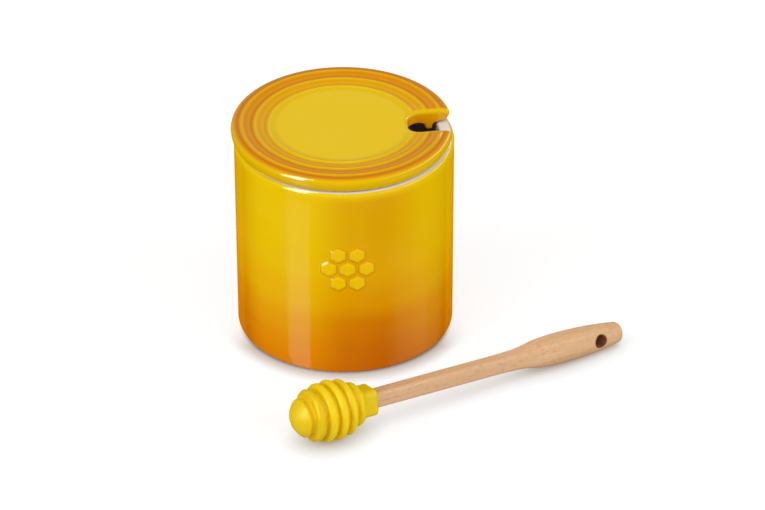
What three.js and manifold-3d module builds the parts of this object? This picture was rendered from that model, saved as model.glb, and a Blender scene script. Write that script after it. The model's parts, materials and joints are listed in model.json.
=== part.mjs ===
// A stoneware honey pot with a lift-off lid, and the honey dipper that lies in front of it.
// Millimetres, +Z up. The origin is on the surface that the pot stands on, under its axis.
// +X runs along the front from left to right, and +Y runs away from the front.

import * as THREE from "three";
import { mergeVertices } from "three/addons/utils/BufferGeometryUtils.js";
import Module from "manifold-3d";

const wasm = await Module();
wasm.setup();

// Gap that pieces keep where they touch
const touchGap = 0.3;

// Pot
const potRadius = 50;
const potLean = 0.4;
const potHeight = 97;
const potWall = 6;
const potFloor = 6;
const footCorner = 0.8;
const footRingWidth = 5;
const footRecess = 1;
const footSlopeRun = 1;
const floorCorner = 8;
const rimOuterCorner = 0.6;
const rimInnerCorner = 1;

// Raised honeycomb on the front of the pot
const cellWidth = 7.8;
const cellGap = 0.8;
const cellRelief = 0.7;
const cellRound = 0.45;
const cellSink = 0.4;
const cellCorner = 0.9;
const honeycombHeight = 56.5;
const honeycombDirection = THREE.MathUtils.degToRad(-88.6);

// Lid, with heights above its seat on the rim
const seatWidth = 5.3;
const lidOverhang = 0.85;
const plateDrop = 0.4;
const ringClearance = 1.15;
const ringWidth = 3.6;
const ringDepth = 3.6;
const ringCorner = 1.4;
const ringFillet = 3;
const edgeHeight = 5.4;
const edgeRun = 3;
const discRadius = 29.6;
const discSink = 0.7;

// Ridges on the lid, counted from the outermost one
const ridgeCount = 3;
const ridgeInset = 5;
const ridgePitch = 6.3;
const ridgeHeight = 7.5;
const ridgeStep = 0.55;
const ridgeWidth = 1.2;
const ridgeShoulder = 0.25;
const flankDrop = 0.4;
const flankRun = 0.4;

// Notch in the lid for the dipper's handle
const notchWidth = 16.6;
const notchLength = 20.7;
const notchCorner = 6;
const notchMouthRound = 2.3;
const notchEdgeRound = 1.7;
const notchDirection = THREE.MathUtils.degToRad(2.2);

// Dipper's head, along its own axis from the tip
const headRadius = 14.1;
const headFrontLength = 19.5;
const headBackLength = 17.5;
const headLength = 41.8;
const ribCount = 5;
const firstRibAt = 10;
const ribPitch = 5.35;
const ribWidth = 3.5;
const grooveDepth = 3;
const collarSide = 13;
const collarCorner = 2.4;
const collarRound = 1.4;

// Dipper's handle
const handleLength = 153.3;
const tenonLength = 22;
const tenonChamfer = 0.6;
const shankSide = 7.8;
const shankCorner = 1.6;
const gripLength = 66;
const gripThickness = 14;
const gripEndRound = 2.2;
const hangHoleDiameter = 6;
const hangHoleChamfer = 0.6;

// Where the dipper lies
const dipperGap = 20.4;
const dipperSetback = 54.5;
const dipperDirection = THREE.MathUtils.degToRad(29.2);
const dipperRoll = THREE.MathUtils.degToRad(-12);

// How far a cutter reaches past what it cuts
const overrun = 5;

// Facets
const potSegments = 64;
const headSegments = 36;
const potArcSteps = 2;
const lidCurveSteps = 3;
const tipSteps = 5;
const ribArcSteps = 4;
const cornerSteps = 4;
const cellCornerSteps = 1;
const edgeRoundSteps = 3;
const gripSteps = 14;
const holeSegments = 24;

const quarterTurn = Math.PI / 2;

// Keep positions only, share vertices, drop collapsed triangles and face outwards
function closedGeometry(geometry) {
  geometry.deleteAttribute("normal");
  geometry.deleteAttribute("uv");
  const merged = mergeVertices(geometry);
  const corners = [];
  for (let i = 0; i < merged.index.count; i += 3) {
    const triangle = [0, 1, 2].map((k) => merged.index.getX(i + k));
    if (new Set(triangle).size === 3) corners.push(...triangle);
  }
  if (signedVolume(merged.attributes.position, corners) < 0) corners.reverse();
  merged.setIndex(corners);
  return merged;
}

function signedVolume(position, corners) {
  const a = new THREE.Vector3();
  const b = new THREE.Vector3();
  const c = new THREE.Vector3();
  let volume = 0;
  for (let i = 0; i < corners.length; i += 3) {
    a.fromBufferAttribute(position, corners[i]);
    b.fromBufferAttribute(position, corners[i + 1]);
    c.fromBufferAttribute(position, corners[i + 2]);
    volume += a.dot(b.cross(c)) / 6;
  }
  return volume;
}

// A profile of (radius, height) points turned about Z
function revolve(profile, segments) {
  const geometry = new THREE.LatheGeometry(profile, segments);
  geometry.rotateX(quarterTurn);
  return closedGeometry(geometry);
}

// A skin over rings of points, with each end closed by a fan round its centre
function loft(rings) {
  const count = rings[0].length;
  const points = rings.flat();
  const corners = [];
  for (let row = 0; row < rings.length - 1; row++) {
    for (let i = 0; i < count; i++) {
      const next = (i + 1) % count;
      const low = row * count;
      const high = low + count;
      corners.push(low + i, low + next, high + next);
      corners.push(low + i, high + next, high + i);
    }
  }
  for (const row of [0, rings.length - 1]) {
    const start = row * count;
    const centre = new THREE.Vector3();
    rings[row].forEach((point) => centre.addScaledVector(point, 1 / count));
    for (let i = 0; i < count; i++) {
      const edge = [start + i, start + ((i + 1) % count)];
      corners.push(points.length, ...(row === 0 ? edge.reverse() : edge));
    }
    points.push(centre);
  }
  const geometry = new THREE.BufferGeometry().setFromPoints(points);
  geometry.setIndex(corners);
  return closedGeometry(geometry);
}

function solid(geometry) {
  const mesh = { numProp: 3, vertProperties: geometry.attributes.position.array };
  return new wasm.Manifold(new wasm.Mesh({ ...mesh, triVerts: new Uint32Array(geometry.index.array) }));
}

function geometryOf(manifold) {
  const mesh = manifold.getMesh();
  const geometry = new THREE.BufferGeometry();
  geometry.setAttribute("position", new THREE.BufferAttribute(mesh.vertProperties, 3));
  geometry.setIndex(Array.from(mesh.triVerts));
  return closedGeometry(geometry);
}

function arcPoints(centreX, centreY, radius, from, to, steps) {
  return Array.from({ length: steps + 1 }, (_, i) => {
    const angle = THREE.MathUtils.lerp(from, to, i / steps);
    return new THREE.Vector2(centreX + radius * Math.cos(angle), centreY + radius * Math.sin(angle));
  });
}

// A regular outline with rounded corners, the flats at a given distance from the centre
function roundedPolygon(sides, flatDistance, corner, steps) {
  const halfAngle = Math.PI / sides;
  const cornerDistance = (flatDistance - corner) / Math.cos(halfAngle);
  return Array.from({ length: sides }, (_, side) => {
    const angle = (2 * side + 1) * halfAngle;
    const x = cornerDistance * Math.cos(angle);
    const y = cornerDistance * Math.sin(angle);
    return arcPoints(x, y, corner, angle - halfAngle, angle + halfAngle, steps);
  }).flat();
}

// Pot: its side leans out a little from the foot to the rim
const potTopRadius = potRadius + potLean;

function potProfile() {
  const innerRadius = potRadius - potWall;
  const floorTop = footRecess + potFloor;
  const footRadius = potRadius - footCorner;
  const ringInnerRadius = footRadius - footRingWidth;
  const rimInnerRadius = innerRadius + rimInnerCorner;
  const rimOuterRadius = potTopRadius - rimOuterCorner;
  const floorRadius = innerRadius - floorCorner;
  const path = new THREE.Path();
  path.moveTo(0, footRecess);
  path.lineTo(ringInnerRadius - footSlopeRun, footRecess);
  path.lineTo(ringInnerRadius, 0);
  path.absarc(footRadius, footCorner, footCorner, -quarterTurn, 0);
  path.absarc(rimOuterRadius, potHeight - rimOuterCorner, rimOuterCorner, 0, quarterTurn);
  path.absarc(rimInnerRadius, potHeight - rimInnerCorner, rimInnerCorner, quarterTurn, Math.PI);
  path.absarc(floorRadius, floorTop + floorCorner, floorCorner, 0, -quarterTurn, true);
  path.lineTo(0, floorTop);
  return path.getPoints(potArcSteps);
}

// One raised cell, wrapped round the pot's side; across and up are measured on that side
function honeycombCell(across, up) {
  const sideRadius = THREE.MathUtils.lerp(potRadius, potTopRadius, honeycombHeight / potHeight);
  const ring = (inset, radius) =>
    roundedPolygon(6, cellWidth / 2 - inset, cellCorner, cellCornerSteps).map((point) => {
      const angle = honeycombDirection + (across + point.x) / sideRadius;
      const height = honeycombHeight + up + point.y;
      return new THREE.Vector3(radius * Math.cos(angle), radius * Math.sin(angle), height);
    });
  const top = sideRadius + cellRelief;
  return loft([ring(0, sideRadius - cellSink), ring(0, top - cellRound), ring(cellRound, top)]);
}

function potGeometry() {
  const cellPitch = cellWidth + cellGap;
  let body = solid(revolve(potProfile(), potSegments));
  body = body.add(solid(honeycombCell(0, 0)));
  for (let i = 0; i < 6; i++) {
    const angle = (i * Math.PI) / 3;
    const cell = honeycombCell(cellPitch * Math.cos(angle), cellPitch * Math.sin(angle));
    body = body.add(solid(cell));
  }
  return geometryOf(body);
}

// Lid
const lidRadius = potRadius + lidOverhang;
const outerRidgeRadius = lidRadius - ridgeInset;
const innerRidgeHeight = ridgeHeight - (ridgeCount - 1) * ridgeStep;
const discHeight = innerRidgeHeight - discSink;
const bandHeight = ridgeHeight - ridgeShoulder - flankDrop;

function lidProfile() {
  const ringOuterRadius = potRadius - potWall - ringClearance;
  const ringInnerRadius = ringOuterRadius - ringWidth;
  const halfRidge = ridgeWidth / 2;
  const valleyShare = 0.6;
  const tuckShares = { radius: 0.2, height: 0.1 };
  const path = new THREE.Path();
  path.moveTo(0, discHeight);
  path.lineTo(discRadius, discHeight);
  // Each valley sweeps up to its ridge, which drops off on its outer side
  for (let ridge = ridgeCount - 1; ridge >= 0; ridge--) {
    const radius = outerRidgeRadius - ridge * ridgePitch;
    const crest = ridgeHeight - ridge * ridgeStep;
    const shoulder = crest - ridgeShoulder;
    const start = path.currentPoint;
    const bendRadius = THREE.MathUtils.lerp(start.x, radius - halfRidge, valleyShare);
    path.quadraticCurveTo(bendRadius, start.y, radius - halfRidge, shoulder);
    path.quadraticCurveTo(radius, crest + ridgeShoulder, radius + halfRidge, shoulder);
    path.lineTo(radius + halfRidge + flankRun, shoulder - flankDrop);
  }
  // The band rounds over the edge and tucks in to the seat
  const seatRadius = ringOuterRadius + seatWidth;
  const tuckRadius = THREE.MathUtils.lerp(lidRadius, seatRadius, tuckShares.radius);
  path.lineTo(lidRadius - edgeRun, bandHeight);
  path.quadraticCurveTo(lidRadius, bandHeight, lidRadius, edgeHeight);
  path.quadraticCurveTo(tuckRadius, edgeHeight * tuckShares.height, seatRadius, 0);
  // Underneath, the ring that keeps the lid centred runs into the flat plate inside it
  path.lineTo(ringOuterRadius, 0);
  path.lineTo(ringOuterRadius, ringCorner - ringDepth);
  path.quadraticCurveTo(ringOuterRadius, -ringDepth, ringOuterRadius - ringCorner, -ringDepth);
  path.lineTo(ringInnerRadius + ringCorner, -ringDepth);
  path.quadraticCurveTo(ringInnerRadius, -ringDepth, ringInnerRadius, ringCorner - ringDepth);
  path.quadraticCurveTo(ringInnerRadius, -plateDrop, ringInnerRadius - ringFillet, -plateDrop);
  path.lineTo(0, -plateDrop);
  return path.getPoints(lidCurveSteps);
}

// Height of the lid's top at a radius, with the ridges smoothed out
function lidTopHeight(radius) {
  if (radius <= discRadius) return discHeight;
  if (radius <= outerRidgeRadius) {
    return THREE.MathUtils.mapLinear(radius, discRadius, outerRidgeRadius, discHeight, bandHeight);
  }
  const bandEdge = lidRadius - edgeRun;
  if (radius <= bandEdge) return bandHeight;
  const past = Math.min(radius, lidRadius);
  return THREE.MathUtils.mapLinear(past, bandEdge, lidRadius, bandHeight, edgeHeight);
}

// The notch seen from above, grown by an offset and rounded out at its mouth
function notchOutline(offset) {
  const halfWidth = notchWidth / 2;
  const corner = notchCorner + offset;
  const endRadius = lidRadius - notchLength - offset;
  const mouthY = halfWidth + notchMouthRound;
  const mouthX = Math.sqrt((lidRadius - notchMouthRound) ** 2 - mouthY ** 2);
  const mouthAngle = Math.atan2(mouthY, mouthX);
  const mouthRadius = Math.max(notchMouthRound - offset, 0);
  const farRadius = lidRadius + overrun;
  const cornerY = halfWidth + offset - corner;
  const side = [
    ...arcPoints(endRadius + corner, cornerY, corner, Math.PI, quarterTurn, cornerSteps),
    ...arcPoints(mouthX, mouthY, mouthRadius, -quarterTurn, mouthAngle, cornerSteps),
    new THREE.Vector2(farRadius * Math.cos(mouthAngle), farRadius * Math.sin(mouthAngle)),
  ];
  const mirrored = side.map((point) => new THREE.Vector2(point.x, -point.y)).reverse();
  return [...mirrored, ...side];
}

// The cutter's rings follow the top of the lid, so that its edge is rounded all along
function notchCutter() {
  const ring = (offset, heightAt) =>
    notchOutline(offset).map((point) => new THREE.Vector3(point.x, point.y, heightAt(point.length())));
  const rings = [ring(0, () => -ringDepth - overrun)];
  for (let step = 0; step <= edgeRoundSteps; step++) {
    const angle = (quarterTurn * step) / edgeRoundSteps;
    const depth = notchEdgeRound * (1 - Math.sin(angle));
    const offset = notchEdgeRound * (1 - Math.cos(angle));
    rings.push(ring(offset, (radius) => lidTopHeight(radius) - depth));
  }
  rings.push(ring(notchEdgeRound, (radius) => lidTopHeight(radius) + overrun));
  return loft(rings);
}

function lidGeometry() {
  const plate = solid(revolve(lidProfile(), potSegments));
  const geometry = geometryOf(plate.subtract(solid(notchCutter())));
  return geometry.rotateZ(notchDirection);
}

// Dipper's head, with its axis along X
function headProfile() {
  // An egg-shaped envelope, widest at the end of its front part
  const envelope = (at) => {
    const share = (at - headFrontLength) / (at < headFrontLength ? headFrontLength : headBackLength);
    return headRadius * Math.sqrt(1 - share ** 2);
  };
  const halfRib = ribWidth / 2;
  const tipRibAt = firstRibAt - ribPitch;
  const tipAngle = Math.acos(1 - tipRibAt / headFrontLength);
  const points = [];
  // The blunt tip
  for (let step = 0; step < tipSteps; step++) {
    const angle = (tipAngle * step) / tipSteps;
    points.push(new THREE.Vector2(headRadius * Math.sin(angle), headFrontLength * (1 - Math.cos(angle))));
  }
  // The tip's back edge and each rib have a round crest and straight sides down to the groove
  for (let rib = 0; rib <= ribCount; rib++) {
    const at = tipRibAt + rib * ribPitch;
    const from = rib === 0 ? quarterTurn : Math.PI;
    for (const point of arcPoints(at, envelope(at) - halfRib, halfRib, from, 0, ribArcSteps)) {
      points.push(new THREE.Vector2(point.y, point.x));
    }
    const grooveRadius = envelope(at + ribPitch / 2) - grooveDepth;
    if (rib < ribCount) {
      points.push(new THREE.Vector2(grooveRadius, at + halfRib));
      points.push(new THREE.Vector2(grooveRadius, at + ribPitch - halfRib));
    }
  }
  const lastRibBack = tipRibAt + ribCount * ribPitch + halfRib;
  points.push(new THREE.Vector2(collarSide / 2, lastRibBack));
  points.push(new THREE.Vector2(0, lastRibBack));
  return points;
}

// A ring of a rounded square across the dipper's axis
function squareRing(at, side, corner) {
  const outline = roundedPolygon(4, side / 2, corner, cornerSteps);
  return outline.map((point) => new THREE.Vector3(at, point.x, point.y));
}

function headGeometry() {
  const lastRibAt = firstRibAt + (ribCount - 1) * ribPitch;
  const collar = [squareRing(lastRibAt, collarSide, collarCorner)];
  for (let step = 0; step <= edgeRoundSteps; step++) {
    const angle = (quarterTurn * step) / edgeRoundSteps;
    const inset = collarRound * (1 - Math.cos(angle));
    const at = headLength - collarRound * (1 - Math.sin(angle));
    collar.push(squareRing(at, collarSide - 2 * inset, collarCorner - inset));
  }
  const socketSide = shankSide + 2 * touchGap;
  const socketCorner = shankCorner + touchGap;
  const socketEnd = headLength - tenonLength - touchGap;
  const socket = [squareRing(socketEnd, socketSide, socketCorner)];
  socket.push(squareRing(headLength + overrun, socketSide, socketCorner));
  const ribs = revolve(headProfile(), headSegments).rotateY(quarterTurn);
  return geometryOf(solid(ribs).add(solid(loft(collar))).subtract(solid(loft(socket))));
}

// Dipper's handle, in the same frame as the head
const handleStart = headLength - tenonLength;
const handleEnd = handleStart + handleLength;
const gripStart = handleEnd - gripLength;

// How far the grip has swelled, from the shank (0) to its thickest (1), along its length
const swellShares = [
  [0, 0],
  [0.18, 0.2],
  [0.33, 0.72],
  [0.5, 1],
  [0.67, 0.93],
  [0.83, 0.68],
  [1, 0.22],
];
const swellPoints = swellShares.map(([along, swell]) => new THREE.Vector2(along, swell));
const swellCurve = new THREE.SplineCurve(swellPoints);

// Thickness and corner radius of the handle at a place on the grip
function gripSection(curveShare) {
  const roundAlongShare = 0.5;
  const gripCornerShare = 0.92;
  const { x: along, y: swell } = swellCurve.getPoint(curveShare);
  const side = THREE.MathUtils.lerp(shankSide, gripThickness, swell);
  const roundness = Math.min(along / roundAlongShare, 1);
  const cornerShare = THREE.MathUtils.lerp((2 * shankCorner) / shankSide, gripCornerShare, roundness);
  return { at: gripStart + along * gripLength, side, corner: (side / 2) * cornerShare };
}

const gripSections = Array.from({ length: gripSteps }, (_, step) => gripSection(step / gripSteps));

function handleGeometry() {
  const tenonTip = { side: shankSide - 2 * tenonChamfer, corner: shankCorner - tenonChamfer };
  const rings = [squareRing(handleStart, tenonTip.side, tenonTip.corner)];
  rings.push(squareRing(handleStart + tenonChamfer, shankSide, shankCorner));
  for (const { at, side, corner } of gripSections) rings.push(squareRing(at, side, corner));
  // The blunt end
  const end = gripSection(1);
  for (let step = 0; step <= edgeRoundSteps; step++) {
    const angle = (quarterTurn * step) / edgeRoundSteps;
    const inset = gripEndRound * (1 - Math.cos(angle));
    const at = handleEnd - gripEndRound * (1 - Math.sin(angle));
    rings.push(squareRing(at, end.side - 2 * inset, end.corner - inset));
  }
  return geometryOf(solid(loft(rings)).subtract(solid(hangHoleCutter())));
}

// The hole for hanging goes straight across the grip, with a bevel at each mouth
function hangHoleCutter() {
  const hangHoleShare = 0.8;
  const section = gripSection(hangHoleShare);
  const radius = hangHoleDiameter / 2;
  const bevelStart = section.side / 2 - hangHoleChamfer;
  const reach = bevelStart + overrun;
  const profile = [
    new THREE.Vector2(0, -reach),
    new THREE.Vector2(radius + overrun, -reach),
    new THREE.Vector2(radius, -bevelStart),
    new THREE.Vector2(radius, bevelStart),
    new THREE.Vector2(radius + overrun, reach),
    new THREE.Vector2(0, reach),
  ];
  const cutter = new THREE.LatheGeometry(profile, holeSegments);
  cutter.translate(section.at, 0, 0);
  return closedGeometry(cutter);
}

// Materials
const glaze = new THREE.MeshStandardMaterial({ color: 0xe0b010, roughness: 0.18, metalness: 0 });
const lidGlaze = new THREE.MeshStandardMaterial({ color: 0xdb9a22, roughness: 0.18, metalness: 0 });
const silicone = new THREE.MeshStandardMaterial({ color: 0xe3cb08, roughness: 0.5, metalness: 0 });
const beech = new THREE.MeshStandardMaterial({ color: 0xdcb184, roughness: 0.6, metalness: 0 });

function piece(name, geometry, material) {
  const mesh = new THREE.Mesh(geometry, material);
  mesh.name = name;
  return mesh;
}

// Assembly
const honeyPot = new THREE.Group();
honeyPot.add(piece("pot", potGeometry(), glaze));

const lid = piece("lid", lidGeometry(), lidGlaze);
// The lid has slipped to the left until its ring touches the wall
lid.position.set(touchGap - ringClearance, 0, potHeight + touchGap);
honeyPot.add(lid);

// The dipper rests on its middle rib, and tips down until the first section of its grip lands
const restRibAt = firstRibAt + 2 * ribPitch;
const cornerReachShare = Math.cos(dipperRoll) + Math.abs(Math.sin(dipperRoll));
const landingTilts = gripSections.map(({ at, side, corner }) => {
  const reach = corner + (side / 2 - corner) * cornerReachShare;
  return Math.asin((headRadius - reach) / (at - restRibAt));
});
const dipperTilt = Math.min(...landingTilts);
const dipperDistance = potRadius + dipperGap + headRadius;

const dipperPieces = new THREE.Group();
dipperPieces.add(piece("dipper_head", headGeometry(), silicone));
dipperPieces.add(piece("dipper_handle", handleGeometry(), beech));
dipperPieces.position.x = -restRibAt;

const dipper = new THREE.Group();
dipper.add(dipperPieces);
dipper.rotation.set(dipperRoll, dipperTilt, dipperDirection, "ZYX");
dipper.position.set(
  dipperDistance * Math.sin(dipperDirection) - dipperSetback * Math.cos(dipperDirection),
  -dipperDistance * Math.cos(dipperDirection) - dipperSetback * Math.sin(dipperDirection),
  headRadius,
);
honeyPot.add(dipper);

export default honeyPot;
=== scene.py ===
# Looks of the honey pot set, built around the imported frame.
# Lengths are named in millimetres, as the shapes' formulas use them, and meshes are made in metres.
# Colours are written as they look on a display.

import json
import math

import bmesh
import bpy
import numpy as np
from mathutils import Euler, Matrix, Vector


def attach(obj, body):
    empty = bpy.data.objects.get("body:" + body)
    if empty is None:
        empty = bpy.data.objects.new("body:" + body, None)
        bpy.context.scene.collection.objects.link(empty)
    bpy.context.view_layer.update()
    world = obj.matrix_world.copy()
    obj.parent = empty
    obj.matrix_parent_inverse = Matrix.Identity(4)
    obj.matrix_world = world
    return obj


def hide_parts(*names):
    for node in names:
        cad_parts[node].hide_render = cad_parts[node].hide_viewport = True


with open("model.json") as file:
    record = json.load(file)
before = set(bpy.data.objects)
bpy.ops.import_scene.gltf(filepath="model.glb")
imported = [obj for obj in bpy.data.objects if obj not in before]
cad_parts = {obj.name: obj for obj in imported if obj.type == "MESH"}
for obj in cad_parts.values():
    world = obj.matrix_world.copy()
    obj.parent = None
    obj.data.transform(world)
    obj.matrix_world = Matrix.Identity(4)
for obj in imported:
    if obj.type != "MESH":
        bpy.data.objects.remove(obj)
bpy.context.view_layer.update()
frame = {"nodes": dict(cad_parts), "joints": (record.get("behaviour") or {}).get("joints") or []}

MM = 0.001

# Named sizes

# Gap that pieces keep where they touch, and how far the smooth skins stay inside the faceted solids
TOUCH_GAP = 0.3
SKIN_INSET = 0.07
HEAD_INSET = 0.13

# Pot
POT_RADIUS = 50
POT_LEAN = 0.4
POT_TOP_RADIUS = POT_RADIUS + POT_LEAN
POT_HEIGHT = 97
POT_WALL = 6
POT_FLOOR = 6
FOOT_CORNER = 0.8
FOOT_RING_WIDTH = 5
FOOT_RECESS = 1
FOOT_SLOPE_RUN = 1
FLOOR_CORNER = 8
RIM_OUTER_CORNER = 2.5
RIM_INNER_CORNER = 1
POT_STEP = 4
POT_ARC_STEPS = 8
POT_COLUMN_STEP = math.radians(2.5)

# Raised honeycomb on the front of the pot
CELL_WIDTH = 7.8
CELL_GAP = 0.8
CELL_RELIEF = 0.7
CELL_CORNER = 0.9
CELL_SLOPE_IN = 1.6
CELL_SLOPE_OUT = 0.35
CELL_FULLNESS = 0.85
HONEYCOMB_HEIGHT = 56.5
HONEYCOMB_DIRECTION = math.radians(-88.6)
HONEYCOMB_REACH = 14
HONEYCOMB_STEP = 0.25

# Lid, with heights above its seat on the rim
LID_RADIUS = 50.85
SEAT_WIDTH = 5.7
PLATE_DROP = 0.4
RING_CLEARANCE = 1.15
RING_WIDTH = 3.6
RING_DEPTH = 3.6
RING_CORNER = 1.4
RING_FILLET = 3
SEAT_FILLET = 1
EDGE_HEIGHT = 4.2
EDGE_RUN = 3
DISC_RADIUS = 29.6
DISC_SINK = 0.7
VALLEY_SHARE = 0.6
TUCK_RADIUS_SHARE = 0.12
TUCK_HEIGHT_SHARE = 0.05

# Ridges on the lid, counted from the outermost one
RIDGE_COUNT = 3
RIDGE_INSET = 5
RIDGE_PITCH = 6.3
RIDGE_HEIGHT = 7.5
RIDGE_STEP = 0.55
RIDGE_WIDTH = 1.2
RIDGE_SHOULDER = 0.25
FLANK_DROP = 0.4
FLANK_RUN = 0.4

# Notch in the lid for the dipper's handle
NOTCH_WIDTH = 16.6
NOTCH_LENGTH = 20.7
NOTCH_CORNER = 6
NOTCH_TOP_ROUND = 1.7
NOTCH_BOTTOM_ROUND = 0.9
NOTCH_MOUTH_ROUND = 2.3
NOTCH_MOUTH_LOW_ROUND = 5
NOTCH_MOUTH_RUN = 6.5
MELT_START = 1.2
MELT_END = 5
MELTED_RING_CORNER = 1.8
MELTED_RING_FILLET = 4.5
MELTED_SEAT_FILLET = 2.6
NOTCH_DIRECTION = math.radians(2.2)

# Pot's glaze. A pair says where a change begins and where it is complete. The glaze ends on the
# rim's outer corner, and its place on that corner is given as height less radius
THIN_GLAZE_HEIGHT = (91.5, 96.4)
GLAZE_END = 46.64
GLAZE_END_WAVE = 0.3
GLAZE_END_LEFT = 0.5
GLAZE_END_BACK = 0.6
GLAZE_END_BLUR = 0.15
GLAZE_END_BROWN = 0.4
LINING_RADIUS = (46.5, 46.2)
LINING_HEIGHT = (1.5, 2)
BARE_FOOT_HEIGHT = (0.4, 0.1)
BARE_RECESS_RADIUS = (44.5, 44.2)
BARE_RECESS_HEIGHT = (1.6, 1.3)

# Lid's glaze: its tones beside a ridge's crest and at the ends, its side and the notch's edge.
# The tone at a ridge's foot is partly painted crease shade, and the side's lower part is painted shade
GLAZE_FLANK_INSET = 1.6
FOOT_POOL_AND_SHADE_AT = 2
GLAZE_POOL_AT = 3
GLAZE_DISC_INSET = 1
GLAZE_EDGE_INSET = 0.9
GLAZE_LID_WAVE = 0.4
LID_SIDE_RADIUS = (49.6, 50.5)
LID_SIDE_HEIGHT = (3.4, 2.4)
NOTCH_EDGE_REACH = (1, 2.4)
NOTCH_WALL_REACH = (0.2, 0.9)
NOTCH_EDGE_HEIGHT = (3.2, 5)

# Dipper's head, along its own axis from the tip
HEAD_RADIUS = 14.1
HEAD_FRONT_LENGTH = 19.5
HEAD_BACK_LENGTH = 17.5
HEAD_LENGTH = 41.8
RIB_COUNT = 5
FIRST_RIB_AT = 10
RIB_PITCH = 5.35
RIB_WIDTH = 4.2
GROOVE_DEPTH = 2.7
HEAD_RIBS_END = 33
COLLAR_SIDE = 13
COLLAR_CORNER = 2.8
COLLAR_ROUND = 2
COLLAR_BLEND = 2.5
SOCKET_ROUND = 0.3

# Dipper's handle
HANDLE_LENGTH = 153.3
TENON_LENGTH = 22
TENON_CHAMFER = 0.6
SHANK_SIDE = 7.8
SHANK_CORNER = 1.6
GRIP_LENGTH = 66
GRIP_THICKNESS = 14
GRIP_END_ROUND = 2.2
GRIP_CORNER_SHARE = 0.92
ROUND_ALONG_SHARE = 0.5
HANG_HOLE_DIAMETER = 6
HANG_HOLE_ROUND = 0.7
HANG_HOLE_SHARE = 0.8
SWELL_SHARES = [
    (0, 0), (0.18, 0.2), (0.33, 0.72), (0.5, 1), (0.67, 0.93), (0.83, 0.68), (1, 0.22),
]

# Where the dipper lies
DIPPER_GAP = 20.4
DIPPER_SETBACK = 54.5
DIPPER_ROLL = math.radians(-12)

# Dipper's looks: how far light goes into the silicone, and where the grooves' painted light and
# the end of the hole's painted shade begin and are complete
SILICONE_DEPTH = 2.5
GROOVE_PAINTED_LIGHT_DEPTH = (0.2, 3.1)
HOLE_SHADE_RADIUS = (3.12, 3.6)
GRIP_TINT_RUN = 33

# Fineness of the smooth skins
LID_VOXEL = 0.475
HEAD_VOXEL = 0.32
HANDLE_VOXEL = 0.4
FIELD_STEP = 0.1
FIELD_MARGIN = 3
FIELD_END_CELLS = 1.001
LID_SOFTENING = 12
HEAD_SOFTENING = 16
CURVE_STEPS = 24
SETTLE_STEPS = 4
LONGEST_SETTLE = 0.4
SLOPE_STEP = 0.1
LEAST_SLOPE = 0.1
WELD_DISTANCE = 0.001
TIP_MARGIN = 0.01

# Camera, fitted to the rim, base and ridge ellipses of the photograph, with angles in radians
# and its focus in pixels of a picture as wide as PICTURE_WIDTH
CAMERA_DISTANCE = 1946.19
CAMERA_HEIGHT = 1292.86
CAMERA_YAW = 0.00896
CAMERA_PITCH = 0.57497
CAMERA_ROLL = -0.00302
CAMERA_FOCUS = 5000
PICTURE_WIDTH = 765
SENSOR_WIDTH = 36


# Shapes as distances: negative inside, positive outside

def cut(a, b, radius):
    """What two shapes share, with its edge rounded"""
    inside = np.minimum(-radius, np.maximum(a, b))
    return inside + np.hypot(np.maximum(radius + a, 0), np.maximum(radius + b, 0))


def join(a, b, radius):
    """Two shapes together, with a fillet between them"""
    return -cut(-a, -b, radius)


def rounded_box(x, y, half_x, half_y, corner):
    past_x = np.abs(x) - half_x + corner
    past_y = np.abs(y) - half_y + corner
    outside = np.hypot(np.maximum(past_x, 0), np.maximum(past_y, 0))
    return outside + np.minimum(np.maximum(past_x, past_y), 0) - corner


def smooth_step(value, low, high):
    share = np.clip((value - low) / (high - low), 0, 1)
    return share * share * (3 - 2 * share)


class Outline:
    """A run of points in a plane, from lines, arcs and quadratic curves"""

    def __init__(self, x, y):
        self.points = [(x, y)]

    def line(self, x, y, step=None):
        start = self.points[-1]
        length = math.hypot(x - start[0], y - start[1])
        count = max(round(length / step), 1) if step else 1
        for i in range(1, count + 1):
            share = i / count
            self.points.append((
                start[0] + share * (x - start[0]),
                start[1] + share * (y - start[1]),
            ))

    def arc(self, centre_x, centre_y, radius, start, end, steps):
        for i in range(steps + 1):
            angle = math.radians(start + (end - start) * i / steps)
            self.points.append((
                centre_x + radius * math.cos(angle),
                centre_y + radius * math.sin(angle),
            ))

    def curve(self, bend_x, bend_y, x, y):
        start_x, start_y = self.points[-1]
        for i in range(1, CURVE_STEPS + 1):
            t = i / CURVE_STEPS
            shares = ((1 - t) ** 2, 2 * t * (1 - t), t * t)
            self.points.append((
                shares[0] * start_x + shares[1] * bend_x + shares[2] * x,
                shares[0] * start_y + shares[1] * bend_y + shares[2] * y,
            ))


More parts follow.
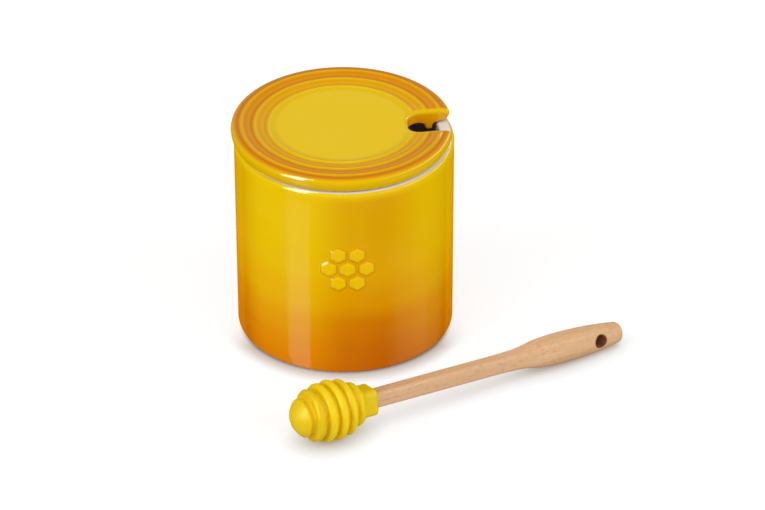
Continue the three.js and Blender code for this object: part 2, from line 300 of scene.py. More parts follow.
class Field:
    """Distance to a closed outline, kept on a fine grid and softened, so that creases come out round"""

    def __init__(self, points, low, high, softening):
        self.low = np.array(low, float)
        counts = np.ceil((np.array(high) - self.low) / FIELD_STEP).astype(int) + 1
        axes = [self.low[k] + FIELD_STEP * np.arange(counts[k]) for k in range(2)]
        x, y = np.meshgrid(*axes, indexing="ij")
        self.values = self.measure(x, y, np.array(points, float))
        for _ in range(softening):
            self.soften()

    def measure(self, x, y, points):
        nearest = np.full(x.shape, np.inf)
        inside = np.zeros(x.shape, bool)
        for start, end in zip(points, np.roll(points, -1, axis=0)):
            along = end - start
            squared = along @ along
            if squared == 0:
                continue
            reached = (x - start[0]) * along[0] + (y - start[1]) * along[1]
            share = np.clip(reached / squared, 0, 1)
            away = np.hypot(x - start[0] - share * along[0], y - start[1] - share * along[1])
            nearest = np.minimum(nearest, away)
            if along[1] != 0:
                crossing = start[0] + (y - start[1]) * along[0] / along[1]
                inside ^= ((start[1] > y) != (end[1] > y)) & (x < crossing)
        return np.where(inside, -nearest, nearest)

    def soften(self):
        for axis in range(2):
            margins = [(1, 1) if k == axis else (0, 0) for k in range(2)]
            padded = np.pad(self.values, margins, "edge")
            size = self.values.shape[axis]
            parts = [np.take(padded, range(k, k + size), axis) for k in range(3)]
            self.values = (parts[0] + 2 * parts[1] + parts[2]) / 4

    def __call__(self, x, y):
        size_x, size_y = self.values.shape
        at_x = np.clip((x - self.low[0]) / FIELD_STEP, 0, size_x - FIELD_END_CELLS)
        at_y = np.clip((y - self.low[1]) / FIELD_STEP, 0, size_y - FIELD_END_CELLS)
        i = at_x.astype(int)
        j = at_y.astype(int)
        u = at_x - i
        v = at_y - j
        near = (1 - v) * self.values[i, j] + v * self.values[i, j + 1]
        far = (1 - v) * self.values[i + 1, j] + v * self.values[i + 1, j + 1]
        return (1 - u) * near + u * far


# Meshes

def slope_of(distance, points):
    columns = []
    for axis in np.eye(3) * SLOPE_STEP:
        columns.append((distance(points + axis) - distance(points - axis)) / (2 * SLOPE_STEP))
    return np.stack(columns, axis=1)


def settle(points, distance):
    """Moves points on to the surface where the distance is zero, and gives the normals there"""
    for _ in range(SETTLE_STEPS):
        slope = slope_of(distance, points)
        step = distance(points) / np.maximum((slope ** 2).sum(axis=1), LEAST_SLOPE)
        points = points - slope * np.clip(step, -LONGEST_SETTLE, LONGEST_SETTLE)[:, None]
    normals = slope_of(distance, points)
    return points, normals / np.linalg.norm(normals, axis=1)[:, None]


def new_object(name, mesh):
    made = bpy.data.objects.new(name, mesh)
    bpy.context.scene.collection.objects.link(made)
    return made


def coordinates(mesh):
    flat = np.zeros(len(mesh.vertices) * 3)
    mesh.vertices.foreach_get("co", flat)
    return flat.reshape(-1, 3)


def smooth(mesh):
    mesh.polygons.foreach_set("use_smooth", [True] * len(mesh.polygons))


def keep_values(mesh, name, values):
    """Stores a number or a vector for each vertex, for the materials to read"""
    values = np.asarray(values, np.float32)
    kind, field = ("FLOAT", "value") if values.ndim == 1 else ("FLOAT_VECTOR", "vector")
    mesh.attributes.new(name, kind, "POINT").data.foreach_set(field, values.ravel())


def skin(name, node, voxel, to_local, distance, inset=SKIN_INSET):
    """A fine mesh over a CAD node, settled on the smooth surface of its shape"""
    mesh = frame["nodes"][node].data.copy()
    mesh.materials.clear()
    welded = bmesh.new()
    welded.from_mesh(mesh)
    bmesh.ops.remove_doubles(welded, verts=welded.verts, dist=WELD_DISTANCE * MM)
    welded.to_mesh(mesh)
    welded.free()
    coarse = new_object(name + "_coarse", mesh)
    remesh = coarse.modifiers.new("remesh", "REMESH")
    remesh.mode = "VOXEL"
    remesh.voxel_size = voxel * MM
    evaluated = coarse.evaluated_get(bpy.context.evaluated_depsgraph_get())
    fine = bpy.data.meshes.new_from_object(evaluated)
    bpy.data.objects.remove(coarse)
    fine.name = name
    points, normals = settle(coordinates(fine) / MM, lambda p: distance(to_local(p)) + inset)
    fine.vertices.foreach_set("co", (points * MM).ravel())
    smooth(fine)
    fine.normals_split_custom_set_from_vertices(normals)
    fine.update()
    return new_object(name, fine), to_local(points)


def part(mesh_object, material, node, body):
    """Gives a finished piece its look and its place in the frame"""
    mesh_object.data.materials.append(material)
    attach(mesh_object, body)
    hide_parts(node)


# Pot

def side_radius(height):
    """The side leans out a little from the foot to the rim"""
    share = (height - FOOT_CORNER) / (POT_HEIGHT - RIM_OUTER_CORNER - FOOT_CORNER)
    return POT_RADIUS + share * POT_LEAN


def pot_rows():
    """Radius and height of each row, from the underside's middle round to the floor's middle"""
    inner_radius = POT_RADIUS - POT_WALL
    floor_top = FOOT_RECESS + POT_FLOOR
    foot_radius = POT_RADIUS - FOOT_CORNER
    ring_inner_radius = foot_radius - FOOT_RING_WIDTH
    side_top = POT_HEIGHT - RIM_OUTER_CORNER
    relief_low = HONEYCOMB_HEIGHT - HONEYCOMB_REACH
    relief_high = HONEYCOMB_HEIGHT + HONEYCOMB_REACH
    rows = Outline(0, FOOT_RECESS)
    rows.line(ring_inner_radius - FOOT_SLOPE_RUN, FOOT_RECESS, POT_STEP)
    rows.line(ring_inner_radius, 0)
    rows.arc(foot_radius, FOOT_CORNER, FOOT_CORNER, -90, 0, POT_ARC_STEPS)
    rows.line(side_radius(relief_low), relief_low, POT_STEP)
    rows.line(side_radius(relief_high), relief_high, HONEYCOMB_STEP)
    rows.line(POT_TOP_RADIUS, side_top, POT_STEP)
    rim_outer_radius = POT_TOP_RADIUS - RIM_OUTER_CORNER
    rows.arc(rim_outer_radius, side_top, RIM_OUTER_CORNER, 0, 90, POT_ARC_STEPS)
    rim_inner_radius = inner_radius + RIM_INNER_CORNER
    rim_inner_height = POT_HEIGHT - RIM_INNER_CORNER
    rows.arc(rim_inner_radius, rim_inner_height, RIM_INNER_CORNER, 90, 180, POT_ARC_STEPS)
    corner_radius = inner_radius - FLOOR_CORNER
    corner_height = floor_top + FLOOR_CORNER
    rows.line(inner_radius, corner_height, POT_STEP)
    rows.arc(corner_radius, corner_height, FLOOR_CORNER, 0, -90, POT_ARC_STEPS)
    rows.line(0, floor_top, POT_STEP)
    pairs = zip(rows.points, [None] + rows.points)
    return np.array([point for point, last in pairs if point != last])


def pot_columns():
    """Angles of the columns, close together where the honeycomb is"""
    reach = HONEYCOMB_REACH / POT_RADIUS
    fine_count = round(2 * HONEYCOMB_REACH / HONEYCOMB_STEP)
    coarse_count = round((2 * math.pi - 2 * reach) / POT_COLUMN_STEP)
    fine = np.linspace(-reach, reach, fine_count, endpoint=False)
    coarse = np.linspace(reach, 2 * math.pi - reach, coarse_count, endpoint=False)
    return HONEYCOMB_DIRECTION + np.concatenate([fine, coarse])


def hexagon(x, y, flat, corner):
    """Distance to a hexagon with rounded corners and its flats to the left and right"""
    flat -= corner
    x, y = np.abs(x), np.abs(y)
    lean_x, lean_y = 0.5, -math.sqrt(0.75)
    fold = 2 * np.minimum(lean_x * x + lean_y * y, 0)
    x, y = x - fold * lean_x, y - fold * lean_y
    half_side = flat / math.sqrt(3)
    y = y - np.clip(y, -half_side, half_side)
    x = x - flat
    return np.hypot(x, y) * np.sign(x) - corner


def honeycomb(across, up):
    """How far the cells stand out, as a share of the relief"""
    pitch = CELL_WIDTH + CELL_GAP
    centres = [(0, 0)]
    for angle in [i * math.pi / 3 for i in range(6)]:
        centres.append((pitch * math.cos(angle), pitch * math.sin(angle)))
    cells = [hexagon(across - x, up - y, CELL_WIDTH / 2, CELL_CORNER) for x, y in centres]
    nearest = np.min(cells, axis=0)
    return smooth_step(-nearest, -CELL_SLOPE_OUT, CELL_SLOPE_IN) ** CELL_FULLNESS


def pot_mesh():
    rows = pot_rows()
    angles = pot_columns()
    count = len(angles)
    radii, heights = rows[1:-1, :1], rows[1:-1, 1:]
    turned = (angles - HONEYCOMB_DIRECTION + math.pi) % (2 * math.pi) - math.pi
    relief = honeycomb(POT_RADIUS * turned[None, :], heights - HONEYCOMB_HEIGHT)
    relief = relief * (radii >= POT_RADIUS)
    radii = radii + relief * CELL_RELIEF
    grid = np.stack([radii * np.cos(angles), radii * np.sin(angles), heights + 0 * radii], axis=-1)
    points = np.concatenate([[(0, 0, rows[0, 1])], grid.reshape(-1, 3), [(0, 0, rows[-1, 1])]])
    faces = []
    last = len(points) - 1
    for j in range(count):
        k = (j + 1) % count
        faces.append((0, 1 + k, 1 + j))
        for low in range(1, last - count, count):
            faces.append((low + j, low + k, low + count + k, low + count + j))
        faces.append((last - count + j, last - count + k, last))
    mesh = bpy.data.meshes.new("pot_stoneware")
    mesh.from_pydata(points * MM, [], faces)
    smooth(mesh)
    keep_values(mesh, "relief", np.concatenate([[0], relief.ravel(), [0]]))
    return mesh


# Lid

lid_axis = np.array([TOUCH_GAP - RING_CLEARANCE, 0, POT_HEIGHT + TOUCH_GAP])
outer_ridge_radius = LID_RADIUS - RIDGE_INSET
inner_ridge_height = RIDGE_HEIGHT - (RIDGE_COUNT - 1) * RIDGE_STEP
disc_height = inner_ridge_height - DISC_SINK
band_height = RIDGE_HEIGHT - RIDGE_SHOULDER - FLANK_DROP


def lid_outline(ridged):
    """Half the lid's section, with radius across and height up"""
    ring_outer = POT_RADIUS - POT_WALL - RING_CLEARANCE
    ring_inner = ring_outer - RING_WIDTH
    seat = ring_outer + SEAT_WIDTH
    half_ridge = RIDGE_WIDTH / 2
    ring_corner = RING_CORNER if ridged else MELTED_RING_CORNER
    ring_fillet = RING_FILLET if ridged else MELTED_RING_FILLET
    seat_fillet = SEAT_FILLET if ridged else MELTED_SEAT_FILLET
    rows = Outline(0, disc_height)
    rows.line(DISC_RADIUS, disc_height)
    for ridge in reversed(range(RIDGE_COUNT if ridged else 0)):
        radius = outer_ridge_radius - ridge * RIDGE_PITCH
        crest = RIDGE_HEIGHT - ridge * RIDGE_STEP
        shoulder = crest - RIDGE_SHOULDER
        start = rows.points[-1]
        bend = start[0] + VALLEY_SHARE * (radius - half_ridge - start[0])
        rows.curve(bend, start[1], radius - half_ridge, shoulder)
        rows.curve(radius, crest + RIDGE_SHOULDER, radius + half_ridge, shoulder)
        rows.line(radius + half_ridge + FLANK_RUN, shoulder - FLANK_DROP)
    if not ridged:
        rows.line(outer_ridge_radius, band_height)
    rows.line(LID_RADIUS - EDGE_RUN, band_height)
    rows.curve(LID_RADIUS, band_height, LID_RADIUS, EDGE_HEIGHT)
    tuck = LID_RADIUS + TUCK_RADIUS_SHARE * (seat - LID_RADIUS)
    rows.curve(tuck, EDGE_HEIGHT * TUCK_HEIGHT_SHARE, seat, 0)
    rows.line(ring_outer + seat_fillet, 0)
    rows.curve(ring_outer, 0, ring_outer, max(-seat_fillet, ring_corner - RING_DEPTH))
    rows.line(ring_outer, ring_corner - RING_DEPTH)
    rows.curve(ring_outer, -RING_DEPTH, ring_outer - ring_corner, -RING_DEPTH)
    rows.line(ring_inner + ring_corner, -RING_DEPTH)
    rows.curve(ring_inner, -RING_DEPTH, ring_inner, ring_corner - RING_DEPTH)
    rows.curve(ring_inner, -PLATE_DROP, ring_inner - ring_fillet, -PLATE_DROP)
    rows.line(0, -PLATE_DROP)
    return rows.points


lid_low = (DISC_RADIUS - FIELD_MARGIN, -RING_DEPTH - FIELD_MARGIN)
lid_high = (LID_RADIUS + FIELD_MARGIN, RIDGE_HEIGHT + FIELD_MARGIN)
ridged_field = Field(lid_outline(True), lid_low, lid_high, LID_SOFTENING)
plain_field = Field(lid_outline(False), lid_low, lid_high, LID_SOFTENING)


def to_lid(points):
    """Lid's own place: from its axis, with the notch along X and heights above its seat"""
    x, y, z = (points - lid_axis).T
    cos, sin = math.cos(NOTCH_DIRECTION), math.sin(NOTCH_DIRECTION)
    return np.stack([cos * x + sin * y, cos * y - sin * x, z], axis=1)


def notch_distance(x, y):
    """Distance to the notch seen from above; its far end is well past the lid"""
    start = LID_RADIUS - NOTCH_LENGTH
    half_length = LID_RADIUS
    return rounded_box(x - start - half_length, y, half_length, NOTCH_WIDTH / 2, NOTCH_CORNER)


def lid_distance(points):
    x, y, z = points.T
    radius = np.hypot(x, y)
    top_share = smooth_step(z, 0, EDGE_HEIGHT)
    mouth_share = smooth_step(radius, LID_RADIUS - NOTCH_MOUTH_RUN, LID_RADIUS)
    rounding = NOTCH_BOTTOM_ROUND + (NOTCH_TOP_ROUND - NOTCH_BOTTOM_ROUND) * top_share
    mouth_round = NOTCH_MOUTH_LOW_ROUND + (NOTCH_MOUTH_ROUND - NOTCH_MOUTH_LOW_ROUND) * top_share
    rounding = rounding + (mouth_round - rounding) * mouth_share
    # The ridges melt away towards the notch
    notch_away = notch_distance(x, y)
    melted = 1 - smooth_step(notch_away, MELT_START, MELT_END)
    body = ridged_field(radius, z) * (1 - melted) + plain_field(radius, z) * melted
    return cut(body, -notch_away, rounding)


# Dipper

pull = next(joint for joint in frame["joints"] if joint["name"] == "dipper_head_pull")
dipper_along = -Vector(pull["axis"]).normalized()
dipper_direction = math.atan2(dipper_along.y, dipper_along.x)
dipper_tilt = math.asin(-dipper_along.z)
dipper_turn = np.array(Euler((DIPPER_ROLL, dipper_tilt, dipper_direction), "XYZ").to_matrix())
rest_rib_at = FIRST_RIB_AT + 2 * RIB_PITCH
dipper_distance = POT_RADIUS + DIPPER_GAP + HEAD_RADIUS
dipper_rest = np.array([
    dipper_distance * math.sin(dipper_direction) - DIPPER_SETBACK * math.cos(dipper_direction),
    -dipper_distance * math.cos(dipper_direction) - DIPPER_SETBACK * math.sin(dipper_direction),
    HEAD_RADIUS,
])
handle_start = HEAD_LENGTH - TENON_LENGTH
handle_end = handle_start + HANDLE_LENGTH
grip_start = handle_end - GRIP_LENGTH


def to_dipper(points):
    """Dipper's own place: from its tip, with its length along X"""
    return (points - dipper_rest) @ dipper_turn + [rest_rib_at, 0, 0]


def head_envelope(at):
    length = HEAD_FRONT_LENGTH if at < HEAD_FRONT_LENGTH else HEAD_BACK_LENGTH
    return HEAD_RADIUS * math.sqrt(1 - ((at - HEAD_FRONT_LENGTH) / length) ** 2)


def head_outline():
    """Half the ribbed part's section, with the way along it across and radius up"""
    half_rib = RIB_WIDTH / 2
    tip_rib_at = FIRST_RIB_AT - RIB_PITCH
    tip_angle = math.acos(1 - tip_rib_at / HEAD_FRONT_LENGTH)
    rows = Outline(0, -HEAD_RADIUS)
    for i in range(CURVE_STEPS):
        angle = tip_angle * i / CURVE_STEPS
        rows.line(HEAD_FRONT_LENGTH * (1 - math.cos(angle)), HEAD_RADIUS * math.sin(angle))
    for rib in range(RIB_COUNT + 1):
        at = tip_rib_at + rib * RIB_PITCH
        rows.arc(at, head_envelope(at) - half_rib, half_rib, 90 if rib == 0 else 180, 0, CURVE_STEPS)
        if rib < RIB_COUNT:
            groove = head_envelope(at + RIB_PITCH / 2) - GROOVE_DEPTH
            rows.line(at + half_rib, groove)
            rows.line(at + RIB_PITCH - half_rib, groove)
    rows.line(at + half_rib, -HEAD_RADIUS)
    return rows.points


head_field = Field(
    head_outline(),
    (-FIELD_MARGIN, 0),
    (HEAD_LENGTH + FIELD_MARGIN, HEAD_RADIUS + FIELD_MARGIN),
    HEAD_SOFTENING,
)


def head_distance(points):
    along, side, up = points.T
    ribs = head_field(along, np.hypot(side, up))
    inside_start = FIRST_RIB_AT + (RIB_COUNT - 1) * RIB_PITCH - along
    half = COLLAR_SIDE / 2
    square = np.maximum(rounded_box(side, up, half, half, COLLAR_CORNER), inside_start)
    collar = cut(square, along - HEAD_LENGTH, COLLAR_ROUND)
    half = SHANK_SIDE / 2 + TOUCH_GAP
    socket = rounded_box(side, up, half, half, SHANK_CORNER + TOUCH_GAP)
    socket = np.maximum(socket, handle_start - TOUCH_GAP - along)
    return cut(join(ribs, collar, COLLAR_BLEND), -socket, SOCKET_ROUND)


def swell_table():
    """The grip's swelling along its length: a smooth curve through the swell shares"""
    shares = np.array(SWELL_SHARES, float)
    padded = np.concatenate([shares[:1], shares, shares[-1:]])
    points = []
    for i in range(len(shares) - 1):
        before, start, end, after = padded[i:i + 4]
        for t in np.linspace(0, 1, CURVE_STEPS, endpoint=False):
            lead, trail = (end - before) / 2, (after - start) / 2
            points.append(
                (2 * start - 2 * end + lead + trail) * t ** 3
                + (3 * end - 3 * start - 2 * lead - trail) * t ** 2 + lead * t + start
            )
    return np.array(points + [shares[-1]])


swell = swell_table()


def handle_section(along):
    """Half the thickness, and the corner radius, at a place along the handle"""
    share = np.clip((along - grip_start) / GRIP_LENGTH, 0, 1)
    half = (SHANK_SIDE + (GRIP_THICKNESS - SHANK_SIDE) * np.interp(share, swell[:, 0], swell[:, 1])) / 2
    roundness = np.minimum(share / ROUND_ALONG_SHARE, 1)
    shank_share = 2 * SHANK_CORNER / SHANK_SIDE
    return half, half * (shank_share + (GRIP_CORNER_SHARE - shank_share) * roundness)


hang_hole_at = grip_start + GRIP_LENGTH * swell[round(HANG_HOLE_SHARE * (len(swell) - 1)), 0]


def handle_distance(points):
    along, side, up = points.T
    half, corner = handle_section(along)
    bar = rounded_box(side, up, half, half, corner)
    bar = cut(bar, along - handle_end, GRIP_END_ROUND)
    bar = cut(bar, handle_start - along, TENON_CHAMFER)
    hole = np.hypot(along - hang_hole_at, up) - HANG_HOLE_DIAMETER / 2
    return cut(bar, -hole, HANG_HOLE_ROUND)


# Looks

def colour(red, green, blue):
    """A display colour as the linear one that Blender works in"""
    def linear(value):
        share = value / 255
        return share / 12.92 if share <= 0.04045 else ((share + 0.055) / 1.055) ** 2.4
    return (linear(red), linear(green), linear(blue), 1)


def grey(share):
    return (share, share, share, 1)


class Nodes:
    """The nodes of a material or a world"""

    def __init__(self, owner):
        owner.use_nodes = True
        self.nodes = owner.node_tree.nodes
        self.links = owner.node_tree.links

    def set(self, socket, value):
        if isinstance(value, bpy.types.NodeSocket):
            self.links.new(value, socket)
        else:
            socket.default_value = value

    def node(self, kind, *inputs, **settings):
        """A node with its settings, and its first inputs set or linked in order"""
        made = self.nodes.new("ShaderNode" + kind)
        for name, value in settings.items():
            setattr(made, name, value)
        for socket, value in zip(made.inputs, inputs):
            if value is not None:
                self.set(socket, value)
        return made

    def math(self, operation, *values):
        return self.node("Math", *values, operation=operation).outputs[0]

    def between(self, value, low, high, bottom=0, top=1, curve="LINEAR"):
        """Goes from bottom to top as the value goes from low to high"""
        inputs = (value, low, high, bottom, top)
        return self.node("MapRange", *inputs, interpolation_type=curve).outputs[0]

    def step(self, value, low, high, bottom=0, top=1):
        return self.between(value, low, high, bottom, top, "SMOOTHSTEP")

    def reach(self, value, lengths):
        """Goes smoothly from zero to one between two lengths"""
        return self.step(value, lengths[0] * MM, lengths[1] * MM)

    def length(self, x, y):
        squares = [self.math("MULTIPLY", value, value) for value in (x, y)]
        return self.math("SQRT", self.math("ADD", *squares))

    def sway(self, value, cloud, amount):
        """The value, swayed by a noise"""
        swing = self.math("MULTIPLY", self.math("SUBTRACT", cloud, 0.5), amount)
        return self.math("ADD", value, swing)

    def kept(self, name, output="Fac"):
        """What keep_values stored under a name"""
        return self.node("Attribute", attribute_name=name).outputs[output]

    def noise(self, place, scale, detail=2, spread=(1, 1, 1)):
        stretched = self.node("Mapping", place)
        stretched.inputs["Scale"].default_value = spread
        made = self.node("TexNoise", stretched.outputs[0])
        made.inputs["Scale"].default_value = scale
        made.inputs["Detail"].default_value = detail
        return made.outputs[0]

    def ramp(self, value, stops, interpolation="EASE"):
        made = self.node("ValToRGB", value)
        made.color_ramp.interpolation = interpolation
        elements = made.color_ramp.elements
        while len(elements) < len(stops):
            elements.new(1)
        for element, (position, shade) in zip(elements, stops):
            element.position = position
            element.color = shade
        return made.outputs[0]

    def mix(self, share, first, second, blend="MIX"):
        made = self.node("Mix", data_type="RGBA", blend_type=blend)
        for name, value in zip(("Factor_Float", "A_Color", "B_Color"), (share, first, second)):
            socket = next(s for s in made.inputs if s.identifier == name)
            self.set(socket, value)
        return next(s for s in made.outputs if s.identifier == "Result_Color")


class Look(Nodes):
    """The look of a surface"""

    def __init__(self, name):
        self.material = bpy.data.materials.new(name)
        super().__init__(self.material)
        self.shader = self.nodes["Principled BSDF"]

    def give(self, name, value):
        self.set(self.shader.inputs[name], value)

    def bump(self, height, strength, distance):
        made = self.node("Bump")
        made.inputs["Strength"].default_value = strength
        made.inputs["Distance"].default_value = distance * MM
        self.set(made.inputs["Height"], height)
        self.give("Normal", made.outputs[0])


CREAM = colour(222, 217, 207)
BISCUIT = colour(214, 200, 176)


def glaze(name):
    """The glossy coat that pot and lid share, with its pinholes and slow unevenness"""
    look = Look(name)
    place = look.node("TexCoord").outputs["Object"]
    slow = look.noise(place, 45, 2)
    fine = look.noise(place, 900, 3)
    look.give("Roughness", look.step(slow, 0.3, 0.7, 0.08, 0.15))
    height = look.math("ADD", look.math("MULTIPLY", slow, 6), look.math("MULTIPLY", fine, 0.4))
    look.bump(height, 0.1, 0.03)
    return look, place


def side_glaze(look, z, turn, cloud):
    """Redder round the foot, lightest at the front's left, deepest right of its middle, and in
    between elsewhere. Round the pot this is partly the glaze's own tone and partly painted light
    and shade: painted light at the front's left, painted shade right of the middle and towards
    the left edge"""
    height = look.math("DIVIDE", z, POT_HEIGHT * MM)
    wavy = look.sway(height, cloud, 0.1)
    # The mix towards the deeper tone round the pot is partly the glaze's own tone, partly painted light
    # and shade
    swing = look.ramp(look.math("MULTIPLY_ADD", turn, 0.5, 0.5), [
        (0, grey(0.5)), (0.3, grey(0.6)), (0.37, grey(0)), (0.44, grey(0)), (0.51, grey(0.85)),
        (0.55, grey(1)), (0.64, grey(0.27)), (0.75, grey(0.5)), (1, grey(0.5)),
    ])
    light = look.ramp(wavy, [
        (0, colour(214, 126, 2)), (0.12, colour(219, 137, 0)), (0.24, colour(223, 152, 0)),
        (0.4, colour(228, 175, 0)), (0.58, colour(229, 186, 0)), (0.8, colour(230, 190, 0)),
    ])
    deep = look.ramp(wavy, [
        (0, colour(197, 102, 0)), (0.12, colour(198, 106, 0)), (0.26, colour(206, 117, 0)),
        (0.4, colour(217, 147, 0)), (0.55, colour(220, 161, 0)), (0.8, colour(215, 158, 0)),
    ])
    return look.mix(swing, light, deep)


def cell_glaze(look, body):
    """The glaze is deeper round the raised cells, and thin and yellow on them. The dark line round
    the cells' foot is partly pooled glaze and partly painted shade at the relief's edges
    """
    relief = look.kept("relief")
    # Dark line round the cells' foot: partly pooled glaze, partly painted shade
    foot_pool_and_shade = look.math("MULTIPLY", look.step(relief, 0.02, 0.2), look.step(relief, 0.6, 0.25))
    body = look.mix(look.math("MULTIPLY", foot_pool_and_shade, 0.5), body, colour(190, 118, 0))
    return look.mix(look.step(relief, 0.3, 1, 0, 0.8), body, colour(233, 194, 8))


def rim_glaze(look, body, radius, z, turn, cloud):
    """The glaze thins out below the rim's outer corner and ends on it, further in at left and
    back and browned there; the rim and the inside are cream"""
    over = look.math("SUBTRACT", z, radius)
    left = look.math("MULTIPLY", look.step(turn, -0.12, -0.25), look.step(turn, -0.75, -0.6))
    back = look.step(turn, 0.25, 0.45)
    end = look.math("MULTIPLY_ADD", cloud, GLAZE_END_WAVE * MM, GLAZE_END * MM)
    end = look.math("MULTIPLY_ADD", left, GLAZE_END_LEFT * MM, end)
    end = look.math("MULTIPLY_ADD", back, GLAZE_END_BACK * MM, end)
    thin = look.math("MULTIPLY", look.reach(z, THIN_GLAZE_HEIGHT), 0.85)
    body = look.mix(thin, body, colour(230, 194, 6))
    brown = look.step(over, look.math("SUBTRACT", end, GLAZE_END_BROWN * MM), end)
    brown = look.math("MULTIPLY", brown, look.step(turn, 0.2, 0.45, 0.1, 0.8))
    body = look.mix(brown, body, colour(170, 100, 26))
    rim = look.step(over, end, look.math("ADD", end, GLAZE_END_BLUR * MM))
    inside = look.math("MULTIPLY", look.reach(radius, LINING_RADIUS), look.reach(z, LINING_HEIGHT))
    return look.mix(look.math("MAXIMUM", rim, inside), body, CREAM)


def bare_foot(look, body, radius, z):
    """The foot ring stands on bare stoneware, and the recess inside it is bare too"""
    under = look.reach(z, BARE_FOOT_HEIGHT)
    recess = (look.reach(radius, BARE_RECESS_RADIUS), look.reach(z, BARE_RECESS_HEIGHT))
    bare = look.math("MAXIMUM", under, look.math("MULTIPLY", *recess))
    return look.mix(bare, body, BISCUIT)


def pot_look():
    look, place = glaze("pot_glaze")
    x, y, z = look.node("SeparateXYZ", place).outputs
    radius = look.length(x, y)
    # The way round the pot is 0 at its front, and 1 or -1 at its back, round the right or the left
    turn = look.math("DIVIDE", look.math("ARCTAN2", x, look.math("MULTIPLY", y, -1)), math.pi)
    cloud = look.noise(place, 28, 3)
    body = side_glaze(look, z, turn, cloud)
    body = cell_glaze(look, body)
    body = rim_glaze(look, body, radius, z, turn, cloud)
    body = bare_foot(look, body, radius, z)
    look.give("Base Color", body)
    return look.material


def lid_look():
    """The glaze runs thin and yellow on the ridges, and pools orange between them. The dark line at
    each ridge's foot is partly pooled glaze and partly painted crease shade, and the side darkens
    towards its lower edge and under the lid as painted shade
    """
    look, place = glaze("lid_glaze")
    centre = tuple(lid_axis * MM)
    from_axis = look.node("VectorMath", place, centre, operation="SUBTRACT").outputs[0]
    x, y, z = look.node("SeparateXYZ", from_axis).outputs
    radius = look.length(x, y)
    cloud = look.noise(place, 60, 3)
    wavy = look.sway(radius, cloud, GLAZE_LID_WAVE * MM)
    share = look.math("DIVIDE", wavy, LID_RADIUS * MM)
    crests = [colour(220, 164, 10), colour(221, 173, 12), colour(224, 186, 14)]
    flanks = [colour(208, 132, 4), colour(213, 152, 4), colour(219, 179, 8)]
    # Dark lines at the ridges' feet: partly pooled glaze, partly painted shade in the crease
    feet_pool_and_shade = [colour(194, 114, 2), colour(197, 122, 2), colour(209, 148, 2)]
    pools = [colour(211, 131, 4), colour(217, 141, 6), colour(222, 162, 6)]
    disc = colour(227, 189, 14)
    bands = [(0, disc), (DISC_RADIUS - GLAZE_DISC_INSET, disc)]
    for ridge in reversed(range(RIDGE_COUNT)):
        at = outer_ridge_radius - ridge * RIDGE_PITCH
        bands.append((at - GLAZE_FLANK_INSET, flanks[ridge]))
        bands.append((at, crests[ridge]))
        bands.append((at + FOOT_POOL_AND_SHADE_AT, feet_pool_and_shade[ridge]))
        bands.append((at + GLAZE_POOL_AT, pools[ridge]))
    bands.append((LID_RADIUS - GLAZE_EDGE_INSET, colour(218, 162, 4)))
    body = look.ramp(share, [(at / LID_RADIUS, shade) for at, shade in bands])
    # Painted shade: the side is painted darker towards its lower edge and darkest under the lid, near
    # the gap above the rim
    side = look.ramp(look.math("DIVIDE", z, EDGE_HEIGHT * MM), [
        (0, colour(204, 150, 0)), (0.3, colour(213, 171, 0)), (1, colour(218, 176, 0)),
    ])
    on_side = look.math("MAXIMUM", look.reach(radius, LID_SIDE_RADIUS), look.reach(z, LID_SIDE_HEIGHT))
    body = look.mix(on_side, body, side)
    body = look.mix(look.kept("notch"), body, colour(219, 177, 0))
    body = look.mix(look.kept("notch_wall"), body, colour(230, 156, 0))
    look.give("Base Color", body)
    return look.material


def silicone_look():
    look = Look("silicone")
    look.give("Specular IOR Level", 0.22)
    place = look.node("TexCoord").outputs["Object"]
    cloud = look.noise(place, 70, 2)
    # Painted shade: darker at the tip, the first rib and the collar than over the middle ribs
    body = look.ramp(look.kept("along"), [
        (0, colour(218, 184, 8)), (0.22, colour(214, 178, 4)), (0.4, colour(230, 199, 4)),
        (0.75, colour(228, 198, 4)), (0.85, colour(219, 188, 2)),
    ])
    body = look.mix(look.step(cloud, 0.3, 0.7, 0, 0.3), body, colour(228, 202, 10))
    # Painted light: the grooves are lighter and more orange, for light seen through the silicone in
    # their shade
    body = look.mix(look.kept("groove"), body, colour(236, 196, 0))
    look.give("Base Color", body)
    look.give("Roughness", look.step(look.noise(place, 260, 3), 0.3, 0.7, 0.34, 0.44))
    look.give("Subsurface Weight", 0.25)
    look.give("Subsurface Radius", (1, 0.6, 0.15))
    look.give("Subsurface Scale", SILICONE_DEPTH * MM)
    look.bump(look.noise(place, 2600, 2), 0.15, 0.02)
    return look.material


def beech_look():
    look = Look("beech")
    place = look.kept("grain", "Vector")
    bands = look.noise(place, 420, 3, (0.02, 1, 1))
    fibres = look.noise(place, 2600, 4, (0.05, 1, 1))
    flecks = look.noise(place, 1900, 2, (0.22, 1, 0.6))
    body = look.ramp(bands, [
        (0.3, colour(203, 160, 118)), (0.5, colour(208, 167, 126)), (0.7, colour(215, 177, 138)),
    ])
    body = look.mix(look.step(fibres, 0.4, 0.7, 0, 0.3), body, colour(196, 146, 98))
    body = look.mix(look.step(flecks, 0.56, 0.68, 0, 0.5), body, colour(184, 131, 86))
    # The grip is a little deeper in colour than the shank
    along = look.node("SeparateXYZ", place).outputs["X"]
    grip = look.reach(along, (grip_start, grip_start + GRIP_TINT_RUN))
    body = look.mix(grip, body, look.mix(1, body, (0.975, 0.95, 0.89, 1), "MULTIPLY"))
    # Painted shade: dark brown inside the hang hole
    body = look.mix(look.kept("painted_hole_shade"), body, colour(120, 74, 42))
    look.give("Base Color", body)
    look.give("Roughness", look.step(fibres, 0.3, 0.7, 0.5, 0.65))
    look.bump(look.math("ADD", fibres, look.math("MULTIPLY", flecks, 0.5)), 0.25, 0.05)
    return look.material


# Pieces

